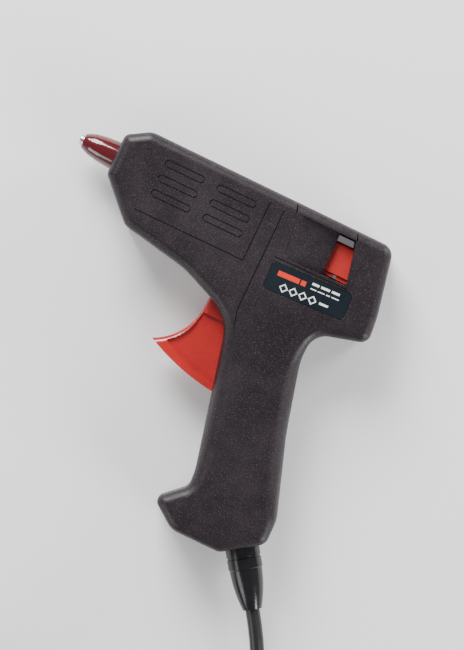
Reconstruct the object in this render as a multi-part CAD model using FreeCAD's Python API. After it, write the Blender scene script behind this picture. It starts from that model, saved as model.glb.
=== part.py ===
import FreeCAD
import Part
import math
import os

# A small 10 W hot-melt glue gun, lying on its right side.
# Working frame while modelling: X rearward from the nozzle's tip along the
# glue stick's axis, Y towards the top of the barrel, Z towards the gun's left.
# Z = 0 is the parting plane of the two shells. On export everything moves so
# that the origin is at the middle of the gun's underside, with +Z up.

V = FreeCAD.Vector

# Driving sizes, mm
half_width = 13.0       # parting plane to flat side
front_x = 15.3          # front face of the barrel
rear_x = 132.4          # rearmost point of the barrel
top_y = 13.9            # top of the barrel above the stick's axis
handle_drop = 119.1     # foot of the handle below the stick's axis
handle_top_x = 66.8
handle_slant = 0.24     # rearward per mm down
wall = 2.4
corner_wall = 4.6       # where the outer edges are rounded
barrel_round = 3.8
handle_round = 6.5
fit = 0.3               # gap between pieces that don't touch
run_fit = 0.05          # radial gap of pins and necks in their holes
stick_r = 3.6
bore_gap = 0.4
bore_r = stick_r + bore_gap

# Housing outline: (x, y, corner radius), anticlockwise
foot_x = handle_top_x + handle_slant * handle_drop
foot_y = -handle_drop
housing = [
    (front_x, 8.6, 3.0),
    (front_x, -7.8, 3.0),
    (front_x + 14.6, -22.6, 5.0),
    (57.0, -27.5, 40.0),
    (79.9, -36.9, 18.0),
    (foot_x - 1.5, foot_y + 24.1, 25.0),
    (foot_x - 1.0, foot_y + 17.5, 5.0),
    (foot_x - 11.1, foot_y + 8.1, 2.6),
    (foot_x, foot_y, 8.0),
    (foot_x + 20.0, foot_y, 5.0),
    (foot_x + 34.8, foot_y + 10.3, 5.0),
    (foot_x + 34.6, foot_y + 20.6, 12.0),
    (119.4, -68.0, 90.0),
    (112.0, -40.0, 28.0),
    (112.4, -28.9, 8.0),
    (rear_x, -23.4, 4.2),
    (rear_x - 1.1, -12.5, 40.0),
    (rear_x - 6.7, top_y - 0.5, 5.2),
    (front_x + 8.9, top_y, 6.0),
]
toe_corner = 7          # the hook at the front of the foot
boot_corner = 9         # the cord leaves through the edge from this corner to the next

# Heater
tip_r = 2.1
orifice_r = 0.8
nozzle_base_x = 10.2    # where the metal tip meets the chamber
tip_thread = 9.0        # the tip's neck inside the chamber
sleeve_base_r = 5.7
chamber_x1 = 56.0       # rear shoulder of the chamber
feed_start_x = 24.0     # where the bore narrows to the nozzle
chamber_r = bore_r + 2.8
neck_r = 5.0            # the chamber's front neck
spigot_r = bore_r + 1.2  # the chamber's rear spigot
spigot_length = 6.0
sleeve_out_r = spigot_r + 1.3
insulator_t = 3.0
support_t = 2.5
stack_x0 = 26.0
stack_x1 = 48.0
stack_top = chamber_r + 0.7
film_t = 0.2
electrode_t = 0.4
ptc_t = 2.5
ptc_half_width = 4.3
tab_x = 50.3
tab_width = 2.6
clip_t = 0.8

# Trigger and carriage
pivot = V(81.0, -26.0, 0)
pin_r = 1.5
trigger_half = 4.0
arm_length = 17.0
trigger_swing = 24.0
head_r = 2.2
lug_t = 2.4
carriage_half = bore_r + 2.6
carriage_top = bore_r + 3.0
carriage_rear_x = 118.5
gripper_pivot = V(110.0, -6.0, 0)
gripper_half = 1.8
gripper_pin_r = 0.8
spring_wire_r = 0.3
spring_r = 1.9

# Viewing window
opening_x = 105.0
window = [
    (87.0, carriage_top + 2.8, 0.6),
    (89.4, -carriage_top - 0.5, 2.2),
    (115.5, -carriage_top - 0.5, 0.4),
    (111.6, carriage_top + 2.8, 0.4),
]
window_start_x = 87.5
window_floor = carriage_half + 2.4
window_wall = 1.6

# Cord
cord_r = 2.75
boot_length = 24.0
sheath_inside = 17.0    # cord inside the handle before its cores part
core_r = 0.9
clamp_side = cord_r + 3.05
clamp_top = cord_r + 1.65
boot_neck_r = cord_r + 2.85
boot_flange_r = boot_neck_r + 1.2

# Screws
screw_r = 1.3
screw_head_r = screw_r + 1.4
screw_head_t = 1.8
head_seat = half_width - 6.0
boss_r = screw_r + 1.7
screws = [
    (front_x + 20.7, -18.3),
    (66.0, top_y - 3.9),
    (rear_x - 11.4, top_y - 4.3),
    (rear_x - 7.9, -16.5),
    (97.8, -84.0),
    (foot_x + 1.1, foot_y + 8.1),
]


# Helpers

def meet(a, b, c, d):
    """Where line a-b crosses line c-d."""
    r = b - a
    s = d - c
    t = ((c.x - a.x) * s.y - (c.y - a.y) * s.x) / (r.x * s.y - r.y * s.x)
    return a + r * t


def outline(corners, z=0.0):
    """A closed wire of straight runs and tangent arcs."""
    edges = []
    cuts = []
    count = len(corners)
    for i in range(count):
        p = V(corners[i][0], corners[i][1], z)
        a = V(corners[i - 1][0], corners[i - 1][1], z) - p
        b = V(corners[(i + 1) % count][0], corners[(i + 1) % count][1], z) - p
        a.normalize()
        b.normalize()
        half = a.getAngle(b) / 2
        reach = corners[i][2] / math.tan(half)
        middle = (a + b).normalize()
        depth = corners[i][2] / math.sin(half) - corners[i][2]
        cuts.append((p + a * reach, p + middle * depth, p + b * reach))
    for i in range(count):
        start, mid, end = cuts[i]
        edges.append(Part.Arc(start, mid, end).toShape())
        edges.append(Part.LineSegment(end, cuts[(i + 1) % count][0]).toShape())
    return Part.Wire(edges)


def inset(corners, distance):
    """The same outline moved inwards by a distance; negative moves it out."""
    count = len(corners)
    points = [V(c[0], c[1], 0) for c in corners]
    moved = []
    for i in range(count):
        a, p, b = points[i - 1], points[i], points[(i + 1) % count]
        n1 = V(-(p - a).y, (p - a).x, 0).normalize() * distance
        n2 = V(-(b - p).y, (b - p).x, 0).normalize() * distance
        q = meet(a + n1, p + n1, p + n2, b + n2)
        turn = (p - a).x * (b - p).y - (p - a).y * (b - p).x
        radius = corners[i][2] - distance if turn > 0 else corners[i][2] + distance
        moved.append((q.x, q.y, max(radius, 0.4)))
    return moved


def prism(corners, z0, z1):
    return Part.Face(outline(corners, z0)).extrude(V(0, 0, z1 - z0))


def flat_prism(points, z0, z1):
    wire = Part.makePolygon([V(x, y, z0) for x, y in points + points[:1]])
    return Part.Face(wire).extrude(V(0, 0, z1 - z0))


def box(x0, x1, y0, y1, z0, z1):
    return Part.makeBox(x1 - x0, y1 - y0, z1 - z0, V(x0, y0, z0))


def rod(r, start, end):
    return Part.makeCylinder(r, (end - start).Length, start, end - start)


def post(r, x, y, z0, z1):
    return Part.makeCylinder(r, z1 - z0, V(x, y, z0))


def turned(profile, start=V(0, 0, 0), axis=V(1, 0, 0)):
    """A solid of revolution: (distance along the axis, radius) points."""
    points = [V(s, r, 0) for s, r in profile]
    face = Part.Face(Part.makePolygon(points + points[:1]))
    solid = face.revolve(V(0, 0, 0), V(1, 0, 0), 360)
    solid.Placement = FreeCAD.Placement(start, FreeCAD.Rotation(V(1, 0, 0), axis))
    return solid


def ring(r_in, r_out, x0, x1):
    return turned([(x0, r_in), (x1, r_in), (x1, r_out), (x0, r_out)])


def stadium(x0, x1, y0, y1):
    r = (y1 - y0) / 2 - 0.01
    return [(x0, y1, r), (x0, y0, r), (x1, y0, r), (x1, y1, r)]


def groove(x0, y0, x1, y1, depth=0.35, width=0.5):
    """A straight groove cut into the flat side."""
    a = V(x0, y0, half_width - depth)
    b = V(x1, y1, half_width - depth)
    along = (b - a).normalize()
    side = V(-along.y, along.x, 0) * (width / 2)
    face = Part.Face(Part.makePolygon([a - side, b - side, b + side, a + side, a - side]))
    return face.extrude(V(0, 0, depth + 1))


def fused(solids):
    whole = solids[0]
    for s in solids[1:]:
        whole = whole.fuse(s)
    return whole.removeSplitter()


def path(points, share=0.45):
    """Straight runs joined by tangent arcs, each arc as large as its runs allow."""
    edges = []
    radii = []
    at = points[0]
    for i in range(1, len(points) - 1):
        p = points[i]
        back = points[i - 1] - p
        on = points[i + 1] - p
        reach = share * min(back.Length, on.Length)
        back.normalize()
        on.normalize()
        half = back.getAngle(on) / 2
        radius = reach * math.tan(half)
        start = p + back * reach
        end = p + on * reach
        depth = radius / math.sin(half) - radius
        mid = p + (back + on).normalize() * depth
        edges.append(Part.LineSegment(at, start).toShape())
        edges.append(Part.Arc(start, mid, end).toShape())
        radii.append(radius)
        at = end
    edges.append(Part.LineSegment(at, points[-1]).toShape())
    return Part.Wire(edges), radii


def tube(points, r):
    """A round cord along a path, checked against its section times its length."""
    wire, radii = path(points)
    start = points[1] - points[0]
    section = Part.Wire(Part.makeCircle(r, points[0], start))
    solid = wire.makePipeShell([section], True, False)
    share = solid.Volume / (math.pi * r * r * wire.Length)
    return solid, wire.Length, radii, share


# The cord's exit: through the slanting edge at the foot of the handle

exit_a = V(housing[boot_corner][0], housing[boot_corner][1], 0)
exit_b = V(housing[boot_corner + 1][0], housing[boot_corner + 1][1], 0)
exit_middle = (exit_a + exit_b) * 0.5
exit_along = (exit_b - exit_a).normalize()
exit_way = V(exit_along.y, -exit_along.x, 0)


def on_exit(s, side=0.0, z=0.0):
    return exit_middle + exit_way * s + exit_along * side + V(0, 0, z)


# Housing shells

inlet_x0 = rear_x - 11.9
inlet_x1 = rear_x - 5.2
inlet_wall = 2.2
rib_t = 1.6
rib_gap = 0.15
rails_x = 72.0          # front end of the carriage's rails
sleeve_flange_x = front_x + wall + 0.1
sleeve_flange_t = 1.2
insulator_x = sleeve_flange_x + sleeve_flange_t + 0.1
support_x = chamber_x1 - 2.6
slot_half = trigger_half + fit
spring_post = V(carriage_rear_x, -carriage_top - 5.5, 0)
spring_post_r = 1.2
clamp_s = -10.0
label_angle = 2.5
label_middle = V(103.1, -15.2, 0)
label_size = (32.6, 10.6)
label_depth = 0.3
pad_length = 16.5
pad_height = 3.1
pad_pitch = 6.15
pad_line = 0.45
pad_depth = 0.35
pin_end = half_width - 3.2


def rounded_blank():
    """Half the housing, solid; its outer edge is rounded more along the handle."""
    blank = prism(housing, 0, half_width)
    edges = []
    for i, e in enumerate(blank.Edges):
        if abs(e.BoundBox.ZMin - half_width) < 1e-4:
            edges.append((i + 1, e))
    doc = FreeCAD.newDocument("fillet")
    base = doc.addObject("Part::Feature", "base")
    base.Shape = blank
    rounding = doc.addObject("Part::Fillet", "rounding")
    rounding.Base = base
    laws = []
    for number, e in edges:
        ends = []
        for t in (e.FirstParameter, e.LastParameter):
            y = e.valueAt(t).y
            low = min(max((-34.0 - y) / 14.0, 0.0), 1.0)
            foot = min(max((y - foot_y - 15.1) / 14.0, 0.0), 1.0)
            share = low * foot
            ends.append(barrel_round + (handle_round - barrel_round) * share)
            toe = V(housing[toe_corner][0], housing[toe_corner][1], half_width)
            if (e.valueAt(t) - toe).Length < 6:
                ends[-1] = min(ends[-1], barrel_round)
        laws.append((number, ends[0], ends[1]))
    rounding.Edges = laws
    doc.recompute()
    solid = rounding.Shape.copy()
    FreeCAD.closeDocument("fillet")
    return solid


def window_recess():
    ramp = [
        (window_start_x - 5, half_width + 1.2),
        (window_start_x, half_width),
        (opening_x, window_floor),
        (rear_x, window_floor),
        (rear_x, half_width + 5),
        (window_start_x - 5, half_width + 5),
    ]
    points = [V(x, -top_y * 2, z) for x, z in ramp]
    wedge = Part.Face(Part.makePolygon(points + points[:1])).extrude(V(0, top_y * 4, 0))
    return prism(window, 0, half_width + 2).common(wedge)


def label_outline(grow):
    w, h = label_size
    x0, x1, y0, y1 = -w / 2 - grow, w / 2 + grow, -h / 2 - grow, h / 2 + grow
    return [(x0, y1, 1.6), (x0, y0, 1.6), (x1, y0, 1.6), (x1, y1, 1.6)]


def label_shape(grow, z0, z1):
    s = prism(label_outline(grow), z0, z1)
    s.rotate(V(0, 0, 0), V(0, 0, 1), label_angle)
    s.translate(label_middle)
    return s


def surface_grooves():
    cuts = [
        groove(30.7, -15.4, 76.0, -15.4),
        groove(76.0, -15.6, 76.0, 8.9),
        groove(82.1, 8.2, 82.1, -33.0),
        groove(82.1, -33.0, 84.6, -42.0),
        groove(window[0][0] - 0.4, window[0][1], 85.4, top_y, 1.2),
        groove(window[3][0] + 0.3, window[0][1], 110.6, top_y, 1.2),
        groove(window[0][0] - 0.7, window[1][1] - 1.4, window[2][0] + 0.7, window[1][1] - 1.0),
    ]
    for row in range(3):
        y1 = 7.0 - pad_pitch * row
        for x0 in (33.5, 55.2):
            outer = stadium(x0, x0 + pad_length, y1 - pad_height, y1)
            pad = prism(outer, half_width - pad_depth, half_width + 1)
            pad = pad.cut(prism(inset(outer, pad_line), half_width - 1, half_width + 2))
            cuts.append(pad)
    return cuts


def turn_to_exit(shape, s=0.0):
    """Turns a shape made along X onto the cord's exit line, a distance s out."""
    shape.rotate(V(0, 0, 0), V(0, 0, 1), math.degrees(math.atan2(exit_way.y, exit_way.x)))
    shape.translate(on_exit(s))
    return shape


def inner_ribs():
    """Ribs round the heater, rails for the carriage, window frame and pivot boss."""
    inside = half_width - 1
    ribs = []
    for x0, r in (
        (insulator_x + insulator_t + rib_gap, chamber_r + fit),
        (support_x - rib_t - rib_gap, chamber_r + fit),
        (support_x + support_t + rib_gap, sleeve_out_r + fit),
    ):
        rib = box(x0, x0 + rib_t, -10.5, top_y - 2.0, 0, inside)
        ribs.append(rib.cut(rod(r, V(x0 - 1, 0, 0), V(x0 + rib_t + 1, 0, 0))))
    rail_z = carriage_half - 2.0
    for y0 in (carriage_top + fit, -carriage_top - fit - rib_t):
        ribs.append(box(rails_x, inlet_x0 - 1.2, y0, y0 + rib_t, rail_z, inside))
    ribs.append(prism(inset(window, -window_wall), window_floor - window_wall, half_width - 0.5))
    ribs.append(post(pin_r + 2.7, pivot.x, pivot.y, slot_half, inside))
    ribs.append(rod(bore_r + inlet_wall, V(inlet_x0, 0, 0), V(inlet_x1 + 1.4, 0, 0)))
    return ribs


def clamp_seat():
    """Two bosses and a saddle for the cord clamp."""
    inside = half_width - 1
    solids = []
    for side in (-clamp_side, clamp_side):
        at = on_exit(clamp_s, side)
        solids.append(post(boss_r - fit, at.x, at.y, 0.6, inside))
    saddle = box(-2.5, 2.5, -cord_r + 0.15, cord_r - 0.15, cord_r / 2, inside)
    solids.append(turn_to_exit(saddle, clamp_s))
    return solids


def shell(left):
    blank = rounded_blank()
    low = prism(inset(housing, wall), -0.1, half_width - corner_wall + 0.1)
    high = prism(inset(housing, corner_wall), -0.1, half_width - wall)
    body = blank.cut(low.fuse(high))
    adds = inner_ribs()
    for x, y in screws:
        adds.append(post(boss_r, x, y, 0, half_width - 1))
        if not left:
            adds.append(post(screw_head_r + 1.5, x, y, head_seat - 0.3, half_width - 1))
    if not left:
        adds += clamp_seat()
    for a in adds:
        body = body.fuse(a.common(blank))
    if left:
        # the spring's post stands past the parting plane, so that the loop sits on it
        body = body.fuse(post(spring_post_r, spring_post.x, spring_post.y, -1.2, half_width - 1))
    cuts = surface_grooves()
    cuts.append(window_recess())
    opening = prism(window, -1, half_width + 1)
    cuts.append(opening.common(box(opening_x, rear_x, -top_y, top_y, -1, half_width + 1)))
    behind = V(rear_x + 5, 0, 0)
    cuts.append(rod(sleeve_base_r + fit, V(front_x - 1, 0, 0), V(front_x + wall + 0.5, 0, 0)))
    cuts.append(rod(bore_r, V(inlet_x0 - 1, 0, 0), behind))
    cuts.append(rod(bore_r + 2.0, V(inlet_x1, 0, 0), behind))
    cuts.append(post(pin_r + run_fit, pivot.x, pivot.y, 0, pin_end + 0.2))
    # room for the feed sleeve and for the carriage's travel, past the screw bosses
    cuts.append(rod(sleeve_out_r + fit, V(support_x + support_t, 0, 0), V(rails_x, 0, 0)))
    room_y = carriage_top + fit
    cuts.append(box(rails_x, carriage_rear_x + fit, -room_y, room_y, -1, carriage_half + fit))
    slot = [(-11.2, -1.0), (-11.2, -20.0), (1.0, -39.9), (15.0, -39.9), (15.0, -19.0), (7.0, -1.0)]
    cuts.append(flat_prism([(pivot.x + x, pivot.y + y) for x, y in slot], -1, slot_half))
    cuts.append(rod(boot_neck_r + run_fit, on_exit(-wall - 2), on_exit(1)))
    if left:
        cuts.append(label_shape(0.15, half_width - label_depth, half_width + 1))
        for x, y in screws:
            cuts.append(post(screw_r + run_fit, x, y, -1, half_width - wall - 0.6))
    else:
        for x, y in screws:
            cuts.append(post(screw_r + fit, x, y, -1, half_width + 1))
            cuts.append(post(screw_head_r + fit, x, y, head_seat, half_width + 1))
        for side in (-clamp_side, clamp_side):
            at = on_exit(clamp_s, side)
            cuts.append(post(screw_r + run_fit, at.x, at.y, -1, half_width - wall - 1))
        cuts.append(rod(cord_r + 0.02, on_exit(clamp_s - 8), on_exit(clamp_s + 8)))
    for c in cuts:
        body = body.cut(c)
    body = body.removeSplitter()
    if not left:
        body = body.mirror(V(0, 0, 0), V(0, 0, 1))
    return body


# Heater

thread_r = 3.0
channel_r = 2.0


def nozzle_tip():
    outer = [(0, tip_r - 0.3), (0.3, tip_r), (1.6, tip_r + 0.1), (nozzle_base_x - 0.2, 3.9)]
    end = nozzle_base_x + tip_thread
    neck = [(nozzle_base_x - 0.2, thread_r), (end, thread_r)]
    inner = [(end, channel_r), (4.0, channel_r), (2.6, orifice_r), (0, orifice_r)]
    return turned(outer + neck + inner)


def nozzle_sleeve():
    outer = [(1.5, 2.75), (3.0, 3.55), (5.0, 4.35), (9.0, 5.1), (front_x, sleeve_base_r)]
    base = [
        (sleeve_flange_x, sleeve_base_r),
        (sleeve_flange_x, sleeve_base_r + 1.1),
        (sleeve_flange_x + sleeve_flange_t, sleeve_base_r + 1.1),
        (sleeve_flange_x + sleeve_flange_t, neck_r + run_fit),
    ]
    inner = [
        (nozzle_base_x, neck_r + run_fit),
        (nozzle_base_x, 3.96),
        (9.0, 3.8),
        (1.6, tip_r + 0.17),
    ]
    return turned(outer + base + inner)


def melt_chamber():
    shoulder = insulator_x + insulator_t + 0.1
    outer = [
        (nozzle_base_x + 0.1, thread_r + run_fit),
        (nozzle_base_x + 0.1, neck_r),
        (shoulder, neck_r),
        (shoulder, chamber_r),
        (chamber_x1, chamber_r),
        (chamber_x1, spigot_r),
        (chamber_x1 + spigot_length, spigot_r),
    ]
    inner = [
        (chamber_x1 + spigot_length, bore_r),
        (feed_start_x + 5, bore_r),
        (feed_start_x - 2, channel_r),
        (nozzle_base_x + tip_thread + run_fit, channel_r),
        (nozzle_base_x + tip_thread + run_fit, thread_r + run_fit),
    ]
    body = turned(outer + inner)
    pad = box(stack_x0 - 1.5, stack_x1 + 1, -stack_top, -2, -pad_half, pad_half)
    pad = pad.cut(rod(bore_r + 1.2, V(0, 0, 0), V(chamber_x1, 0, 0)))
    return body.fuse(pad).removeSplitter()


pad_half = ptc_half_width + 1.1
stack_height = 2 * film_t + 2 * electrode_t + ptc_t


def ptc_pack():
    """Film sleeve, the two contact plates and the ceramic heating pill."""
    y = -stack_top
    w = ptc_half_width + 0.5
    outer = box(stack_x0, stack_x1, y - stack_height, y, -w, w)
    low = y - stack_height + film_t
    hollow = box(stack_x0 - 1, stack_x1 + 1, low, y - film_t, -w + film_t, w - film_t)
    film = outer.cut(hollow)
    plates = []
    y -= film_t
    for n in range(2):
        z0 = -ptc_half_width if n == 0 else ptc_half_width - tab_width
        plate = box(stack_x0 + 1, stack_x1 - 0.5, y - electrode_t, y, -ptc_half_width, ptc_half_width)
        plate = plate.fuse(box(stack_x1 - 0.6, tab_x, y - electrode_t, y, z0, z0 + tab_width))
        plates.append(plate.removeSplitter())
        y -= electrode_t
        if n == 0:
            half = ptc_half_width - 0.3
            pill = box(stack_x0 + 2, stack_x1 - 2, y - ptc_t, y, -half, half)
            y -= ptc_t
    return film, Part.makeCompound(plates), pill


def heater_clip():
    """A spring-steel clamp round the chamber that presses the heating stack to it."""
    r = chamber_r + run_fit
    x0 = (stack_x0 + stack_x1) / 2 - 4.0
    x1 = x0 + 9.0
    low = -stack_top - stack_height
    band = ring(r, r + clip_t, x0, x1)
    band = band.common(box(x0, x1, -0.01, 20, -20, 20))
    band = band.cut(box(x0 - 1, x1 + 1, chamber_r - 1.6, 20, -20, 20))
    solids = [band]
    for side in (-1, 1):
        z = sorted((side * r, side * (r + clip_t)))
        solids.append(box(x0, x1, low - clip_t, 0, z[0], z[1]))
    solids.append(box(x0, x1, low - clip_t, low, -r - clip_t, r + clip_t))
    return fused(solids)


def front_insulator():
    return ring(neck_r + 0.1, chamber_r + 0.5, insulator_x, insulator_x + insulator_t)


def rear_support():
    high = top_y - corner_wall - 0.7
    deep = half_width - wall - 1.2
    plate = box(support_x, support_x + support_t, -high, high, -deep, deep)
    return plate.cut(rod(chamber_r + run_fit, V(support_x - 1, 0, 0), V(support_x + 4, 0, 0)))


def feed_sleeve():
    start = chamber_x1 + 0.1
    end = start + 15.6
    inside_r = spigot_r + run_fit
    profile = [
        (start, inside_r),
        (start, sleeve_out_r - 0.3),
        (start + 0.3, sleeve_out_r),
        (end - 2.0, sleeve_out_r),
        (end, bore_r + 1.4),
        (end, bore_r + 0.4),
        (end - 1.0, bore_r),
        (start + spigot_length, bore_r),
        (start + spigot_length, inside_r),
    ]
    return turned(profile)


def sleeve_clip():
    """A wire ring with two turned-up ends, on the feed sleeve."""
    clip_x = chamber_x1 + 4.4
    wire_r = 0.45
    r = sleeve_out_r + wire_r + 0.02
    loop = Part.makeTorus(r, wire_r, V(clip_x, 0, 0), V(1, 0, 0))
    ear = rod(wire_r, V(clip_x, r, 0), V(clip_x, r + 2.6, 1.2))
    return loop.fuse(ear).removeSplitter()


# Trigger, carriage and what works them

half_swing = math.radians(trigger_swing / 2)
head = pivot + V(arm_length * math.sin(half_swing), arm_length * math.cos(half_swing), 0)
apex = V(57.4, -56.6, 0)
finger_top = V(70.3, -37.4, 0)


def trigger():
    edges = [
        Part.Arc(finger_top, V(67.0, -48.0, 0), apex).toShape(),
        Part.Arc(apex, V(70.5, -61.9, 0), V(90.0, -65.6, 0)).toShape(),
    ]
    loop = [V(90.0, -65.6, 0), V(90.6, -58.0, 0), V(86.0, -27.0, 0), V(80.0, -21.5, 0)]
    loop += [V(74.5, -24.0, 0), V(70.6, -31.0, 0), finger_top]
    for a, b in zip(loop, loop[1:]):
        edges.append(Part.LineSegment(a, b).toShape())
    face = Part.Face(Part.Wire(edges))
    body = face.extrude(V(0, 0, trigger_half * 2))
    body.translate(V(0, 0, -trigger_half))
    front = []
    for e in body.Edges:
        if e.Length < 5 or abs(abs(e.BoundBox.ZMin) - trigger_half) > 1e-4:
            continue
        if abs(e.BoundBox.ZMin - e.BoundBox.ZMax) > 1e-4:
            continue
        middle = e.valueAt((e.FirstParameter + e.LastParameter) / 2)
        if (middle - V(67.0, -48.0, middle.z)).Length < 1.5:
            front.append(e)
    body = body.makeFillet(2.4, front)
    # the shallow panel in each side, inside the raised lower rim
    panel = Part.Face(Part.Wire([
        Part.Arc(V(70.6, -39.5, 0), V(68.2, -48.6, 0), V(62.6, -54.8, 0)).toShape(),
        Part.Arc(V(62.6, -54.8, 0), V(72.5, -59.6, 0), V(88.0, -62.6, 0)).toShape(),
        Part.LineSegment(V(88.0, -62.6, 0), V(88.0, -39.5, 0)).toShape(),
        Part.LineSegment(V(88.0, -39.5, 0), V(70.6, -39.5, 0)).toShape(),
    ])).extrude(V(0, 0, 1))
    for z in (trigger_half - 0.5, -trigger_half - 0.5):
        cut = panel.copy()
        cut.translate(V(0, 0, z))
        body = body.cut(cut)
    boss = post(5.6, pivot.x, pivot.y, -trigger_half, trigger_half)
    lean = (head - pivot).normalize()
    side = V(lean.y, -lean.x, 0) * 1.6
    arm = Part.Face(Part.makePolygon([
        pivot - side * 2, pivot + side * 2, head + side, head - side, pivot - side * 2,
    ])).extrude(V(0, 0, 5.0))
    arm.translate(V(0, 0, -2.5))
    knob = post(head_r, head.x, head.y, -2.5, 2.5)
    body = fused([body, boss, arm, knob])
    return body.cut(post(pin_r + run_fit, pivot.x, pivot.y, -20, 20))


def trigger_pin():
    return post(pin_r, pivot.x, pivot.y, -pin_end, pin_end)


lug_gap = head_r + fit
lug_x = (head.x - lug_gap - lug_t, head.x + lug_gap)
hook_x = head.x + lug_gap + 6.2  # where the spring's front loop sits
hook_r = 1.0


def carriage():
    bore = bore_r + 0.1
    pipe = rod(bore + 1.8, V(lug_x[0], 0, 0), V(101, 0, 0))
    block = box(99, carriage_rear_x, -carriage_top, carriage_top, -carriage_half, carriage_half)
    long_edges = [
        e for e in block.Edges
        if abs(e.BoundBox.XMax - e.BoundBox.XMin) > 10
    ]
    block = block.makeFillet(1.6, long_edges)
    for side in (-1, 1):
        z = sorted((side * (carriage_half - 1.0), side * (carriage_half + 1)))
        step_y = -carriage_top + 1.8
        block = block.cut(box(98, carriage_rear_x + 1, -carriage_top - 1, step_y, z[0], z[1]))
    solids = [pipe, block]
    for x0 in lug_x:
        solids.append(box(x0, x0 + lug_t, head.y - head_r - 0.2, -3, -4, 4))
    hook_y = spring_post.y
    solids.append(box(hook_x - 1.6, hook_x + 1.6, hook_y - 1.7, -3, 0.7, 2.6))
    solids.append(post(hook_r, hook_x, hook_y, -1.1, 1.0))
    # stiffening webs between the pipe and the block
    solids.append(box(90, 100, 3, carriage_top, -1, 1))
    for z0 in (-carriage_half, 3):
        solids.append(box(92, 100, -1, 1, z0, z0 + carriage_half - 3))
    body = fused(solids)
    body = body.cut(rod(bore, V(lug_x[0] - 5, 0, 0), V(carriage_rear_x + 5, 0, 0)))
    way = gripper_half + fit
    g = gripper_pivot
    body = body.cut(box(g.x - 7.4, g.x + 3.0, g.y - 4.0, 0, -way, way))
    pin_way = post(gripper_pin_r + 0.02, g.x, g.y, -carriage_half + 1.0, carriage_half - 1.0)
    return body.cut(pin_way)


def gripper():
    """A toothed rocker that bites the stick from below when the trigger is pulled."""
    g = gripper_pivot
    teeth = [
        (-0.2, 1.4), (-4.6, 1.7), (-5.2, 1.0), (-5.8, 1.5), (-6.4, 0.8), (-5.6, -0.4), (-0.6, -1.4),
    ]
    foot = [(-0.8, 0), (1.2, 0), (1.6, -3.0), (0.2, -3.0)]
    solids = []
    for corners in (teeth, foot):
        points = [(g.x + x, g.y + y) for x, y in corners]
        solids.append(flat_prism(points, -gripper_half, gripper_half))
    solids.append(post(1.55, g.x, g.y, -gripper_half, gripper_half))
    return fused(solids).cut(post(gripper_pin_r + run_fit, g.x, g.y, -9, 9))


def gripper_pin():
    half = carriage_half - 1.1
    return post(gripper_pin_r, gripper_pivot.x, gripper_pivot.y, -half, half)


def return_spring():
    """A close coil with a loop at each end, round the carriage's hook and the shell's post."""
    loop_r = spring_post_r + spring_wire_r + 0.25
    x0 = hook_x + loop_r + 0.6
    x1 = spring_post.x - loop_r - 0.6
    pitch = 1.25
    helix = Part.makeHelix(pitch, x1 - x0, spring_r)
    section = Part.Wire(Part.makeCircle(spring_wire_r, V(spring_r, 0, 0), V(0, 1, 0)))
    coil = Part.Wire(helix.Edges).makePipeShell([section], True, True)
    upright = FreeCAD.Rotation(V(0, 0, 1), V(1, 0, 0))
    place = FreeCAD.Placement(V(x0, spring_post.y, 0), upright)
    coil.Placement = place
    sweep = 2 * math.pi * (x1 - x0) / pitch
    ends = (
        (V(spring_r, 0, 0), hook_x + loop_r, hook_x),
        (V(spring_r * math.cos(sweep), spring_r * math.sin(sweep), x1 - x0),
         spring_post.x - loop_r, spring_post.x),
    )
    for wire_end, loop_x, middle_x in ends:
        tip = place.multVec(wire_end)
        centre = V(tip.x, spring_post.y, 0)
        bends = [
            rod(spring_wire_r, tip, centre),
            Part.makeSphere(spring_wire_r, tip),
            Part.makeSphere(spring_wire_r, centre),
            rod(spring_wire_r, centre, V(loop_x, spring_post.y, 0)),
            Part.makeTorus(loop_r, spring_wire_r, V(middle_x, spring_post.y, 0), V(0, 0, 1)),
        ]
        for bend in bends:
            coil = coil.fuse(bend)
    return coil


# Cord end, clamp, wiring

def strain_relief():
    """The boot: a flange inside the handle, a collar with one ring groove, then a bullet shape."""
    collar_r = boot_neck_r + 1.0
    collar_end = 8.4
    groove_t = 0.35
    profile = [
        (-wall - 1.9, cord_r), (-wall - 1.9, boot_flange_r), (-wall - 0.1, boot_flange_r),
        (-wall - 0.1, boot_neck_r), (run_fit, boot_neck_r), (run_fit, collar_r - 0.2),
        (0.5, collar_r), (3.4, collar_r), (3.6, collar_r - groove_t), (4.1, collar_r - groove_t),
        (4.3, collar_r), (collar_end - 0.3, collar_r), (collar_end, collar_r - groove_t),
    ]
    steps = 12
    taper = boot_length - collar_end
    start_r = collar_r - groove_t
    drop = start_r - cord_r - 0.9
    for n in range(1, steps + 1):
        share = n / steps
        profile.append((collar_end + taper * share, start_r - drop * share ** 1.9))
    profile.append((boot_length, cord_r))
    return turned(profile, exit_middle, exit_way)


def cord_clamp():
    end = clamp_side + boss_r - fit - 0.1
    foot_z = 0.3
    bar = box(-2.4, 2.4, -end, end, -0.5, clamp_top)
    for y0, y1 in ((-end - 1, -cord_r - 0.65), (cord_r + 0.65, end + 1)):
        bar = bar.cut(box(-3, 3, y0, y1, -1, foot_z))
    bar = bar.cut(rod(cord_r + 0.02, V(-9, 0, 0), V(9, 0, 0)))
    for side in (-clamp_side, clamp_side):
        bar = bar.cut(post(screw_r + fit, 0, side, -5, clamp_top + 1))
    return turn_to_exit(bar, clamp_s)


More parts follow.
